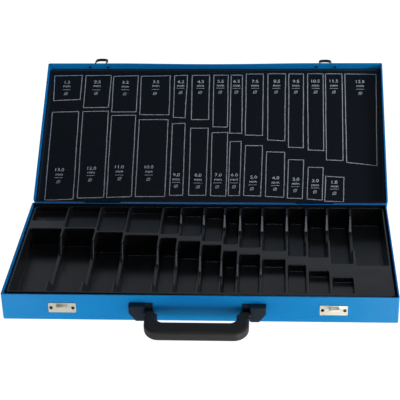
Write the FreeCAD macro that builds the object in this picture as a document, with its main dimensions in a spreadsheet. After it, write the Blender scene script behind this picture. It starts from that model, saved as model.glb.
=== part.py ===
import FreeCAD, Part
import Sketcher
import os
import re
from math import radians, cos, sin, sqrt

# Hinged sheet-steel case for twist drills: a shallow base with a moulded
# compartment tray, a shallow lid with a flat liner, two rear hinges with
# stops, two hasps with keepers and a folding carrying handle.
# Frame: millimetres, X to the right, Y to the back, Z up, origin at the
# centre of the base's underside.  The lid stands open, as far as its stops.

V = FreeCAD.Vector
doc = FreeCAD.newDocument("drill_case")
sheet = doc.addObject("Spreadsheet::Sheet", "Dims")

dims = [
    # case shells
    ("case_w", 500.0), ("case_d", 238.5), ("base_h", 37.5), ("gauge", 0.8),
    ("corner_rad", 2.4), ("hem_w", 0.9), ("hem_h", 6.0),
    ("lid_w", 502.0), ("lid_d", 238.0), ("lid_h", 17.5), ("lid_hem_w", 1.2), ("lid_hem_h", 4.0),
    ("lid_gap", 0.3), ("rear_cut", 2.6), ("lid_shift", 1.6), ("open_deg", 148.1),
    # liner in the lid
    ("liner_side", 1.4), ("liner_front", 1.6), ("liner_th", 1.2), ("liner_bead_w", 3.0), ("liner_bead_h", 1.0),
    # hinges
    ("hinge_x", 150.0), ("hinge_off", 2.1), ("leaf_w", 50.0), ("leaf_h", 20.0), ("lid_leaf_h", 15.0),
    ("leaf_th", 0.9), ("knuckle_rad", 1.7), ("hinge_pin_rad", 0.9), ("hinge_bore_rad", 0.95),
    ("knuckle_gap", 0.4), ("stop_drop", 9.4), ("stop_th", 1.2), ("stop_w", 10.0), ("stop_reach", 8.4),
    ("hinge_rivet_x", 18.0), ("hinge_rivet_z", 9.0),
    # keepers and hasps
    ("latch_left", -172.75), ("latch_right", 169.0), ("keeper_w", 35.0), ("keeper_hh", 14.0), ("keeper_z", 18.65),
    ("keeper_th", 1.0), ("latch_rivet_x", 13.9), ("nose_w", 13.0), ("nose_top", 24.5), ("nose_low", 19.4), ("nose_out", 4.9),
    ("hasp_w", 35.0), ("hasp_low", 2.0), ("hasp_hh", 12.0), ("hasp_th", 1.0), ("hasp_rivet_z", 8.0),
    ("pivot_up", 12.0), ("pivot_out", 2.9), ("eye_rad", 1.6), ("hasp_pin_rad", 0.8), ("hasp_bore_rad", 0.85),
    ("eye_half", 9.2), ("lug_in", 9.6), ("lug_out", 11.2), ("lever_half", 9.5), ("lever_len", 34.5), ("lever_th", 1.0),
    ("window_half", 7.3), ("window_top", 8.0), ("window_low", 31.8), ("lip_out", 3.3), ("lip_th", 1.0), ("open_left", 125.5), ("open_right", 129.0),
    # handle
    ("handle_mid", -1.5), ("bracket_out", 86.2), ("bracket_in", 56.2), ("cheek_in", 66.4), ("bracket_top", 26.7),
    ("bracket_low", 4.9), ("bracket_dep", 9.2), ("bracket_plate", 2.0), ("bevel_x", 8.6), ("bevel_z", 11.5),
    ("axle_y", 7.2), ("axle_z", 14.3), ("axle_rad", 2.0), ("axle_bore", 2.05), ("axle_in", 57.5), ("axle_out", 82.0),
    ("grip_half", 65.4), ("arm_w", 15.8), ("ear_w", 11.4), ("grip_reach", 30.4), ("grip_w", 21.2), ("grip_th", 15.2),
    ("ear_rad", 4.6), ("grip_bend", 19.0), ("grip_bend_in", 8.0), ("grip_round", 4.2), ("droop_deg", 9.0),
    ("screw_x", 76.0), ("screw_rad", 1.5), ("screw_len", 7.0), ("screw_head", 2.8),
    # tray: positions are taken from the case's outer left and outer front
    ("tray_top", 34.0), ("tray_left", 4.2), ("tray_right", 495.8), ("tray_front", 8.5), ("tray_back", 236.0),
    ("tray_wall", 1.5), ("tub_side", 1.75), ("cavity_round", 2.4), ("floor_round", 1.8),
    ("tray_skirt", 6.0), ("rib_th", 3.4), ("pocket_left", 7.2), ("pocket_right", 492.6),
    ("pocket_back", 233.6), ("pocket_front", 14.5), ("draft", 0.05), ("dip_low", 39.0), ("dip_run", 16.0),
]
rear_ribs = [53.6, 99.3, 139.8, 187.6, 213.4, 245.5, 274.5, 296.2, 326.8, 361.0, 387.7, 416.6, 448.7]
front_ribs = [53.8, 99.2, 139.4, 188.2, 213.8, 246.2, 274.8, 296.4, 327.0, 360.2, 386.8, 416.4]
front_last = 445.0
rear_ends = [194.0, 176.5, 167.0, 162.5, 159.5, 154.5, 141.0, 133.2, 125.2, 117.0, 104.0, 101.5, 86.0, 82.0]
front_ends = [171.5, 171.8, 163.0, 155.6, 148.6, 141.0, 131.5, 116.4, 107.6, 95.6, 81.8, 67.8, 51.8]
rear_deps = [9.0, 9.0, 9.0, 10.5, 15.0, 15.0, 18.0, 26.0, 26.0, 26.0, 26.0, 31.7, 31.7, 28.0]
front_deps = [26.0, 28.0, 31.7, 31.7, 28.0, 28.0, 26.0, 26.0, 18.0, 12.0, 9.5, 9.0, 7.0]
# finger dips: (row, rib number, front end, back end, how deep)
dips = [("front", 1, 39.0, 148.7, 18.0), ("front", 2, 38.6, 139.5, 18.0), ("front", 3, 38.8, 134.0, 18.0),
        ("front", 4, 36.0, 123.0, 18.0), ("front", 5, 37.0, 118.0, 18.0), ("front", 6, 39.0, 105.5, 18.0),
        ("front", 7, 40.0, 93.0, 17.0), ("front", 8, 43.0, 84.5, 13.5), ("front", 9, 43.0, 78.5, 9.5),
        ("rear", 5, 162.5, 214.0, 11.0), ("rear", 6, 160.0, 213.5, 12.0), ("rear", 7, 160.0, 214.5, 15.0),
        ("rear", 8, 156.0, 213.0, 18.0), ("rear", 9, 148.0, 212.0, 18.0), ("rear", 10, 148.0, 213.0, 18.0),
        ("rear", 11, 144.0, 212.5, 18.0), ("rear", 12, 146.0, 216.0, 18.0), ("rear", 13, 121.0, 212.0, 18.0)]
for i, v in enumerate(rear_ribs):
    dims.append(("rear_rib_%02d" % (i + 1), v))
for i, v in enumerate(front_ribs):
    dims.append(("front_rib_%02d" % (i + 1), v))
dims.append(("front_last", front_last))
for i in range(14):
    dims.append(("rear_end_%02d" % (i + 1), rear_ends[i]))
    dims.append(("rear_dep_%02d" % (i + 1), rear_deps[i]))
for i in range(13):
    dims.append(("front_end_%02d" % (i + 1), front_ends[i]))
    dims.append(("front_dep_%02d" % (i + 1), front_deps[i]))
for i, (row, k, a, b, c) in enumerate(dips):
    dims += [("dip_a_%02d" % (i + 1), a), ("dip_b_%02d" % (i + 1), b), ("dip_c_%02d" % (i + 1), c)]
for i, (alias, value) in enumerate(dims):
    sheet.set("A%d" % (i + 1), alias)
    sheet.set("B%d" % (i + 1), "%g" % value)
    sheet.setAlias("B%d" % (i + 1), alias)
doc.recompute()


def ex(text):
    """An expression with the sheet's name put before each alias."""
    return re.sub(r"[a-z][a-z0-9_]*", lambda w: "Dims." + w.group(0), str(text))


def val(text):
    """The number that an expression of aliases gives."""
    if isinstance(text, (int, float)):
        return float(text)
    r = sheet.evalExpression(ex(text))
    return float(getattr(r, "Value", r))


def bind(obj, prop, text):
    if isinstance(text, (int, float)):
        return
    obj.setExpression(prop, ex(text))


def place(obj, x, y, z, rot=None):
    obj.Placement = FreeCAD.Placement(V(val(x), val(y), val(z)), rot or FreeCAD.Rotation())
    for k, t in zip("xyz", (x, y, z)):
        bind(obj, "Placement.Base." + k, t)


made = []


def keep(obj, label, placement=None):
    obj.Label = label
    if placement is not None:
        obj.Placement = placement
    made.append(obj)
    return obj


# ---- Part primitives -------------------------------------------------------
count = [0]


def nm(stem):
    count[0] += 1
    return "%s_%03d" % (stem, count[0])


def box(x0, x1, y0, y1, z0, z1):
    o = doc.addObject("Part::Box", nm("block"))
    for p, a, b in (("Length", x0, x1), ("Width", y0, y1), ("Height", z0, z1)):
        setattr(o, p, val(b) - val(a))
        bind(o, p, "(%s) - (%s)" % (b, a))
    place(o, x0, y0, z0)
    return o


AXIS = {"X": FreeCAD.Rotation(V(0, 1, 0), 90), "Y": FreeCAD.Rotation(V(1, 0, 0), -90), "Z": FreeCAD.Rotation()}


def cyl(r, length, x, y, z, axis):
    """A cylinder that starts at x, y, z and runs along +axis."""
    o = doc.addObject("Part::Cylinder", nm("rod"))
    o.Radius, o.Height = val(r), val(length)
    bind(o, "Radius", r)
    bind(o, "Height", length)
    place(o, x, y, z, AXIS[axis])
    return o


def cone(r1, r2, length, x, y, z, axis):
    o = doc.addObject("Part::Cone", nm("cone"))
    o.Radius1, o.Radius2, o.Height = val(r1), val(r2), val(length)
    bind(o, "Radius1", r1)
    bind(o, "Radius2", r2)
    bind(o, "Height", length)
    place(o, x, y, z, AXIS[axis])
    return o


def fuse(parts):
    o = doc.addObject("Part::MultiFuse", nm("fuse"))
    o.Shapes = parts
    o.Refine = True
    return o


def cut(base, tool):
    o = doc.addObject("Part::Cut", nm("cut"))
    o.Base, o.Tool = base, tool
    o.Refine = True
    return o


def group(parts):
    o = doc.addObject("Part::Compound", nm("group"))
    o.Links = parts
    return o


# ---- sketches --------------------------------------------------------------
def new_body(name):
    return doc.addObject("PartDesign::Body", name)


def sketch(body, role, off=0.0):
    sk = body.newObject("Sketcher::SketchObject", nm("sketch"))
    plane = [o for o in body.Origin.OriginFeatures if o.Role == role][0]
    sk.AttachmentSupport = [(plane, "")]
    sk.MapMode = "FlatFace"
    sk.AttachmentOffset = FreeCAD.Placement(V(0, 0, val(off)), FreeCAD.Rotation())
    bind(sk, "AttachmentOffset.Base.z", off)
    return sk


def pin_point(sk, geo, pos, x, y):
    for kind, t, line in (("DistanceX", x, -2), ("DistanceY", y, -1)):
        v = val(t)
        if abs(v) < 1e-9:
            sk.addConstraint(Sketcher.Constraint("PointOnObject", geo, pos, line))
        else:
            c = sk.addConstraint(Sketcher.Constraint(kind, -1, 1, geo, pos, v))
            bind(sk, "Constraints[%d]" % c, t)


def poly(sk, pts):
    """A closed outline whose corners are placed by expressions."""
    nums = [(val(a), val(b)) for a, b in pts]
    n = len(pts)
    g = sk.GeometryCount
    for i in range(n):
        a, b = nums[i], nums[(i + 1) % n]
        sk.addGeometry(Part.LineSegment(V(a[0], a[1], 0), V(b[0], b[1], 0)), False)
    for i in range(n):
        sk.addConstraint(Sketcher.Constraint("Coincident", g + i, 2, g + (i + 1) % n, 1))
    for i in range(n):
        pin_point(sk, g + i, 1, pts[i][0], pts[i][1])


def rect(sk, x0, y0, x1, y1):
    poly(sk, [(x0, y0), (x1, y0), (x1, y1), (x0, y1)])


def circle(sk, x, y, r):
    g = sk.addGeometry(Part.Circle(V(val(x), val(y), 0), V(0, 0, 1), val(r)), False)
    pin_point(sk, g, 3, x, y)
    c = sk.addConstraint(Sketcher.Constraint("Radius", g, val(r)))
    bind(sk, "Constraints[%d]" % c, r)


def pad(body, sk, length, reverse=False, mid=False):
    f = body.newObject("PartDesign::Pad", nm("pad"))
    f.Profile = sk
    f.Length = val(length)
    bind(f, "Length", length)
    f.Reversed = reverse
    if mid:
        f.SideType = "Symmetric"
    doc.recompute()
    return f


def pocket(body, sk, length, reverse=False, mid=False):
    before = body.Shape.Volume
    f = body.newObject("PartDesign::Pocket", nm("pocket"))
    f.Profile = sk
    f.Length = val(length)
    bind(f, "Length", length)
    f.Reversed = reverse
    if mid:
        f.SideType = "Symmetric"
    doc.recompute()
    after = body.Shape.Volume
    if not after < before - 1e-3:
        raise RuntimeError("a pocket in %s cut nothing" % body.Name)
    return f


def edges_where(shape, test):
    return ["Edge%d" % (i + 1) for i, e in enumerate(shape.Edges) if test(e)]


def vertical(e):
    a, b = e.Vertexes[0].Point, e.Vertexes[-1].Point
    return len(e.Vertexes) == 2 and abs(a.x - b.x) < 1e-6 and abs(a.y - b.y) < 1e-6 and abs(a.z - b.z) > 1e-3


def along(axis):
    def test(e):
        if len(e.Vertexes) != 2 or e.Curve.TypeId != "Part::GeomLine":
            return False
        d = e.Vertexes[1].Point - e.Vertexes[0].Point
        return abs(abs(getattr(d, axis)) - d.Length) < 1e-6
    return test


def add_fillet(body, test, radius):
    tip = body.Tip
    names = edges_where(tip.Shape, test)
    f = body.newObject("PartDesign::Fillet", nm("fillet"))
    f.Base = (tip, names)
    f.Radius = val(radius)
    bind(f, "Radius", radius)
    doc.recompute()
    return f


# ---- placements of what rides on the lid ----------------------------------
hinge_y = val("case_d/2 + hinge_off")
hinge_z = val("base_h + lid_gap/2")
rim_z = val("base_h + lid_gap")                    # the lid's rim when it is shut
lid_front = val("case_d/2 - lid_d")                # the lid's front face when shut
LID = FreeCAD.Placement(V(0, 0, 0), FreeCAD.Rotation(V(1, 0, 0), -val("open_deg")), V(0, hinge_y, hinge_z))


# ---- pressed shells --------------------------------------------------------
def shell(name, w, d, h, hem_w, hem_h, front_holes, rear_holes):
    """An open-topped pressed box with rounded corners and a folded hem.
    front_holes and rear_holes: (x, z, radius) in the wall's own plane."""
    b = new_body(name)
    s = sketch(b, "XY_Plane")
    rect(s, "-%s/2" % w, "-%s/2" % d, "%s/2" % w, "%s/2" % d)
    pad(b, s, h)
    add_fillet(b, vertical, "corner_rad")
    add_fillet(b, lambda e: max(v.Point.z for v in e.Vertexes) < 1e-6, "corner_rad/2")
    s = sketch(b, "XY_Plane", h)
    rect(s, "-%s/2 + gauge" % w, "-%s/2 + gauge" % d, "%s/2 - gauge" % w, "%s/2 - gauge" % d)
    pocket(b, s, "%s - gauge" % h)
    inner = val("%s/2 - gauge" % w)
    add_fillet(b, lambda e: vertical(e) and abs(abs(e.Vertexes[0].Point.x) - inner) < 1e-6
               and e.Length > val(h) / 2, "corner_rad - gauge")
    s = sketch(b, "XY_Plane", h)
    rect(s, "-%s/2 + gauge/2" % w, "-%s/2 + gauge" % d, "%s/2 - gauge/2" % w, "%s/2 - gauge" % d)
    rect(s, "-%s/2 + gauge + %s" % (w, hem_w), "-%s/2 + gauge + %s" % (d, hem_w),
         "%s/2 - gauge - %s" % (w, hem_w), "%s/2 - gauge - %s" % (d, hem_w))
    pad(b, s, hem_h, reverse=True)
    for side, holes in ((1, front_holes), (-1, rear_holes)):
        if not holes:
            continue
        s = sketch(b, "XZ_Plane", ("%s/2 + 1" if side > 0 else "-%s/2 + gauge + 1") % d)
        for x, z, r in holes:
            circle(s, x, z, r)
        pocket(b, s, "gauge + 2" if side > 0 else "gauge + 2")
    return b


bracket_xs = ["handle_mid - screw_x", "handle_mid + screw_x"]
base_front = []
for lx in ("latch_left", "latch_right"):
    base_front += [("%s - latch_rivet_x" % lx, "keeper_z", 1.65), ("%s + latch_rivet_x" % lx, "keeper_z", 1.65)]
for bx in bracket_xs:
    base_front += [(bx, "bracket_top - 5", 1.7), (bx, "bracket_low + 5", 1.7)]
base_rear = []
for hx in ("-hinge_x", "hinge_x"):
    for s_ in ("-", "+"):
        base_rear.append(("%s %s hinge_rivet_x" % (hx, s_), "base_h + lid_gap/2 - hinge_rivet_z", 1.65))
base_shell = shell("base_body", "case_w", "case_d", "base_h", "hem_w", "hem_h", base_front, base_rear)
keep(base_shell, "base_shell")

# The lid is drawn as an open-topped box and turned over, so its own front
# wall faces +Y before it is turned.
lid_near = []
for lx in ("latch_left", "latch_right"):
    lid_near += [("%s - lid_shift - latch_rivet_x" % lx, "hasp_rivet_z", 1.65),
                 ("%s - lid_shift + latch_rivet_x" % lx, "hasp_rivet_z", 1.65)]
lid_rear = []
for hx in ("-hinge_x", "hinge_x"):
    for s_ in ("-", "+"):
        lid_rear.append(("%s - lid_shift %s hinge_rivet_x" % (hx, s_), "hinge_rivet_z", 1.65))
# heights above the rim become heights above the top panel, which lies lowest
lid_near = [(x, "lid_h - (%s)" % z, r) for x, z, r in lid_near]
lid_rear = [(x, "lid_h - (%s)" % z, r) for x, z, r in lid_rear]
lid_shell = shell("lid_body", "lid_w", "lid_d", "lid_h", "lid_hem_w", "lid_hem_h", lid_rear, lid_near)
# the rear wall stops short of the rim, to leave room for the knuckles
s = sketch(lid_shell, "XY_Plane", "lid_h")
rect(s, "-lid_w/2 + gauge + lid_hem_w", "-lid_d/2 - 1", "lid_w/2 - gauge - lid_hem_w", "-lid_d/2 + gauge + lid_hem_w + 0.2")
pocket(lid_shell, s, "rear_cut")
turn = FreeCAD.Placement(V(val("lid_shift"), lid_front + val("lid_d/2"), rim_z + val("lid_h")), FreeCAD.Rotation(V(1, 0, 0), 180))
keep(lid_shell, "lid_shell", LID * turn)

# ---- liner: a flat moulded sheet with a raised bead round its edge --------
b = new_body("liner_body")
s = sketch(b, "XY_Plane")
lw, ld = "lid_w/2 - gauge - liner_side", "lid_d/2 - gauge - liner_front"
rect(s, "-(%s)" % lw, "-(%s)" % ld, lw, ld)
pad(b, s, "liner_th")
add_fillet(b, vertical, 3.0)
s = sketch(b, "XY_Plane", "liner_th")
rect(s, "-(%s) + 1" % lw, "-(%s) + 1" % ld, "%s - 1" % lw, "%s - 1" % ld)
rect(s, "-(%s) + 1 + liner_bead_w" % lw, "-(%s) + 1 + liner_bead_w" % ld,
     "%s - 1 - liner_bead_w" % lw, "%s - 1 - liner_bead_w" % ld)
pad(b, s, "liner_bead_h")
turn = FreeCAD.Placement(V(val("lid_shift"), lid_front + val("lid_d/2"), rim_z + val("lid_h - gauge")),
                         FreeCAD.Rotation(V(1, 0, 0), 180))
keep(b, "lid_liner", LID * turn)

# ---- compartment tray ------------------------------------------------------
def pockets():
    out = []
    for i in range(14):
        a = "pocket_left" if i == 0 else "rear_rib_%02d + rib_th/2" % i
        c = "pocket_right" if i == 13 else "rear_rib_%02d - rib_th/2" % (i + 1)
        out.append((a, c, "rear_end_%02d" % (i + 1), "pocket_back", "rear_dep_%02d" % (i + 1)))
    for i in range(13):
        a = "pocket_left" if i == 0 else "front_rib_%02d + rib_th/2" % i
        c = "front_last" if i == 12 else "front_rib_%02d - rib_th/2" % (i + 1)
        out.append((a, c, "pocket_front", "front_end_%02d" % (i + 1), "front_dep_%02d" % (i + 1)))
    return out


def wedge(x0, x1, y0, y1, dep, inx, iny):
    """A cavity that opens at the tray's top and narrows downwards:
    inx and iny are how much each side comes in at the bottom."""
    o = doc.addObject("Part::Wedge", nm("cavity"))
    vals = (("Xmin", x0), ("Xmax", x1), ("Zmin", y0), ("Zmax", y1), ("Ymin", 0.0), ("Ymax", dep),
            ("X2min", "(%s) + %s" % (x0, inx)), ("X2max", "(%s) - (%s)" % (x1, inx)),
            ("Z2min", "(%s) + %s" % (y0, iny)), ("Z2max", "(%s) - (%s)" % (y1, iny)))
    for p, t in vals:
        setattr(o, p, val(t))
    for p, t in vals:
        bind(o, p, t)
    place(o, 0.0, 0.0, "tray_top", FreeCAD.Rotation(V(1, 0, 0), -90))
    return o


def rounded(cavity, dep):
    """The cavity with its four upright edges and its floor's edges rounded."""
    doc.recompute()
    zt, zb = val("tray_top"), val("tray_top - %s" % dep)
    edges = []
    for i, e in enumerate(cavity.Shape.Edges):
        zs = sorted(v.Point.z for v in e.Vertexes)
        if abs(zs[0] - zb) < 1e-6 and abs(zs[1] - zt) < 1e-6:
            edges.append((i + 1, val("cavity_round"), val("cavity_round")))
        elif abs(zs[1] - zb) < 1e-6:
            edges.append((i + 1, val("floor_round"), val("floor_round")))
    f = doc.addObject("Part::Fillet", nm("rounded"))
    f.Base = cavity
    f.Edges = edges
    return f


tubs, cavities = [], []
for x0, x1, y0, y1, dep in pockets():
    tubs.append(box("%s - tub_side" % x0, "%s + tub_side" % x1, "%s - tub_side" % y0, "%s + tub_side" % y1,
                    "tray_top - %s - tray_wall" % dep, "tray_top"))
    cavities.append(rounded(wedge(x0, x1, y0, y1, dep, "draft*%s + 0.2" % dep, "draft*%s + 0.2" % dep), dep))
for i, (row, k, a, bb, c) in enumerate(dips):
    rib = "%s_rib_%02d" % (row, k)
    n = i + 1
    cavities.append(wedge("%s - rib_th/2 - 1.4" % rib, "%s + rib_th/2 + 1.4" % rib, "dip_a_%02d" % n, "dip_b_%02d" % n,
                          "dip_c_%02d" % n, "0", "dip_run*dip_c_%02d/18" % n))
top = box("tray_left", "tray_right", "tray_front", "tray_back", "tray_top - tray_wall", "tray_top")
skirt_out = box("tray_left", "tray_right", "tray_front", "tray_back", "tray_top - tray_skirt", "tray_top")
skirt_in = box("tray_left + tray_wall", "tray_right - tray_wall", "tray_front + tray_wall", "tray_back - tray_wall",
               "tray_top - tray_skirt - 1", "tray_top - tray_wall/2")
skirt = cut(skirt_out, skirt_in)
tray = cut(fuse([top, skirt] + tubs), fuse(cavities))
keep(tray, "tray_insert")
tray.Placement = FreeCAD.Placement(V(-val("case_w/2"), -val("case_d/2"), 0), FreeCAD.Rotation())
bind(tray, "Placement.Base.x", "-case_w/2")
bind(tray, "Placement.Base.y", "-case_d/2")


# ---- hinges ----------------------------------------------------------------
# Local frame: the pin's axis is the X axis through the origin, the case's
# rear wall is the plane y = -hinge_off, and z runs up.
segs = ["-leaf_w/2", "-leaf_w*0.3", "-leaf_w*0.1", "leaf_w*0.1", "leaf_w*0.3", "leaf_w/2"]


def leaf(own, sign, height, stop):
    """sign -1: the base's leaf, which hangs down; +1: the lid's, which stands up."""
    s = "-" if sign < 0 else ""
    lo, hi = (("-%s" % height, "-knuckle_rad - knuckle_gap") if sign < 0 else ("knuckle_rad + knuckle_gap", height))
    parts = [box("-leaf_w/2", "leaf_w/2", "-hinge_off", "-hinge_off + leaf_th", lo, hi)]
    for a, c in own:
        a2 = a if a == "-leaf_w/2" else "%s + knuckle_gap/2" % a
        c2 = c if c == "leaf_w/2" else "%s - knuckle_gap/2" % c
        zz = ("-knuckle_rad - knuckle_gap - 0.5", "0") if sign < 0 else ("0", "knuckle_rad + knuckle_gap + 0.5")
        parts.append(box(a2, c2, "-hinge_off", "-hinge_off + leaf_th + 0.4", zz[0], zz[1]))
        parts.append(cyl("knuckle_rad", "(%s) - (%s)" % (c2, a2), a2, "0", "0", "X"))
    tools = [cyl("hinge_bore_rad", "leaf_w + 4", "-leaf_w/2 - 2", "0", "0", "X")]
    rz = "-hinge_rivet_z" if sign < 0 else "lid_gap/2 + 9"
    for sx in ("-hinge_rivet_x", "hinge_rivet_x"):
        tools.append(cyl(1.65, 3.0, sx, "-hinge_off - 1", rz, "Y"))
    if stop:
        parts.append(box("-stop_w/2", "stop_w/2", "-hinge_off", "-hinge_off + leaf_th + stop_reach",
                         "-stop_drop - stop_th", "-stop_drop"))
        tools.append(box("-stop_w/2", "stop_w/2", "-hinge_off - 0.5", "-hinge_off + leaf_th + 0.5",
                         "-stop_drop - stop_th - stop_reach", "-stop_drop - stop_th"))
    return cut(fuse(parts), fuse(tools))


def hinge_pin():
    return fuse([cyl("hinge_pin_rad", "leaf_w + 0.8", "-leaf_w/2 - 0.4", "0", "0", "X"),
                 cone("1.0", "1.5", "0.7", "-leaf_w/2 - 1.1", "0", "0", "X"),
                 cone("1.5", "1.0", "0.7", "leaf_w/2 + 0.4", "0", "0", "X")])


for side, hx in (("left", "-hinge_x"), ("right", "hinge_x")):
    at = FreeCAD.Placement(V(val(hx), hinge_y, hinge_z), FreeCAD.Rotation())
    keep(leaf([(segs[0], segs[1]), (segs[2], segs[3]), (segs[4], segs[5])], -1, "leaf_h", True),
         "hinge_base_leaf_" + side, at)
    keep(leaf([(segs[1], segs[2]), (segs[3], segs[4])], 1, "lid_leaf_h", False), "hinge_lid_leaf_" + side, LID * at)
    keep(hinge_pin(), "hinge_pin_" + side, at)


# ---- blind rivets ----------------------------------------------------------
def rivet(x, y, z, out, head_r=2.4, grip_len=1.8, head_h=0.9):
    """A blind rivet through a wall. y is the face that its head sits on, and
    out is -1 where the head faces -Y and +1 where it faces +Y."""
    if out < 0:
        parts = [cone(head_r * 0.68, head_r, head_h, x, "%s - %g" % (y, head_h), z, "Y"),
                 cyl(1.6, grip_len, x, y, z, "Y"), cyl(2.1, 1.4, x, "%s + %g" % (y, grip_len), z, "Y")]
        bore = cyl(1.0, head_h + 1.2, x, "%s - %g" % (y, head_h), z, "Y")
    else:
        parts = [cone(head_r, head_r * 0.68, head_h, x, y, z, "Y"),
                 cyl(1.6, grip_len, x, "%s - %g" % (y, grip_len), z, "Y"),
                 cyl(2.1, 1.4, x, "%s - %g" % (y, grip_len + 1.4), z, "Y")]
        bore = cyl(1.0, head_h + 1.2, x, "%s - 1.2" % y, z, "Y")
    return cut(fuse(parts), bore)


rv = []
for hx in ("-hinge_x", "hinge_x"):
    for s_ in ("-", "+"):
        rv.append(rivet("%s %s hinge_rivet_x" % (hx, s_), "case_d/2 + leaf_th", "base_h + lid_gap/2 - hinge_rivet_z", 1, grip_len=1.7))
keep(group(rv), "hinge_rivets_base")
rv = []
for hx in ("-hinge_x", "hinge_x"):
    for s_ in ("-", "+"):
        rv.append(rivet("%s %s hinge_rivet_x" % (hx, s_), "case_d/2 + leaf_th", "base_h + lid_gap + 9", 1, grip_len=1.7))
keep(group(rv), "hinge_rivets_lid", LID)

# ---- keepers on the base ---------------------------------------------------
for side, lx in (("left", "latch_left"), ("right", "latch_right")):
    b = new_body("keeper_%s_body" % side)
    s = sketch(b, "XZ_Plane")
    rect(s, "-keeper_w/2", "keeper_z - keeper_hh/2", "keeper_w/2", "keeper_z + keeper_hh/2")
    pad(b, s, "keeper_th")
    add_fillet(b, along("y"), 1.4)
    s = sketch(b, "XZ_Plane", -1.0)
    rect(s, "-nose_w/2", "nose_low - 0.5", "nose_w/2", "nose_top - 1.2")
    circle(s, "-latch_rivet_x", "keeper_z", 1.65)
    circle(s, "latch_rivet_x", "keeper_z", 1.65)
    pocket(b, s, "keeper_th + 2", reverse=True)
    # the nose: a tongue lanced out of the plate, sloping out and then turned down
    s = sketch(b, "YZ_Plane", "-nose_w/2")
    poly(s, [("-keeper_th", "nose_top"), ("-nose_out", "nose_top - 2.6"), ("-nose_out", "nose_low"),
             ("-nose_out + 1", "nose_low"), ("-nose_out + 1", "nose_top - 3.3"), ("-keeper_th", "nose_top - 1.3"),
             ("-keeper_th/2", "nose_top - 1.2"), ("-keeper_th/2", "nose_top")])
    pad(b, s, "nose_w")
    keep(b, "keeper_" + side, FreeCAD.Placement(V(val(lx), -val("case_d/2"), 0), FreeCAD.Rotation()))
    bind(b, "Placement.Base.x", lx)
    bind(b, "Placement.Base.y", "-case_d/2")
rv = []
for lx in ("latch_left", "latch_right"):
    for s_ in ("-", "+"):
        rv.append(rivet("%s %s latch_rivet_x" % (lx, s_), "-case_d/2 - keeper_th", "keeper_z", -1))
keep(group(rv), "keeper_rivets")

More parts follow.
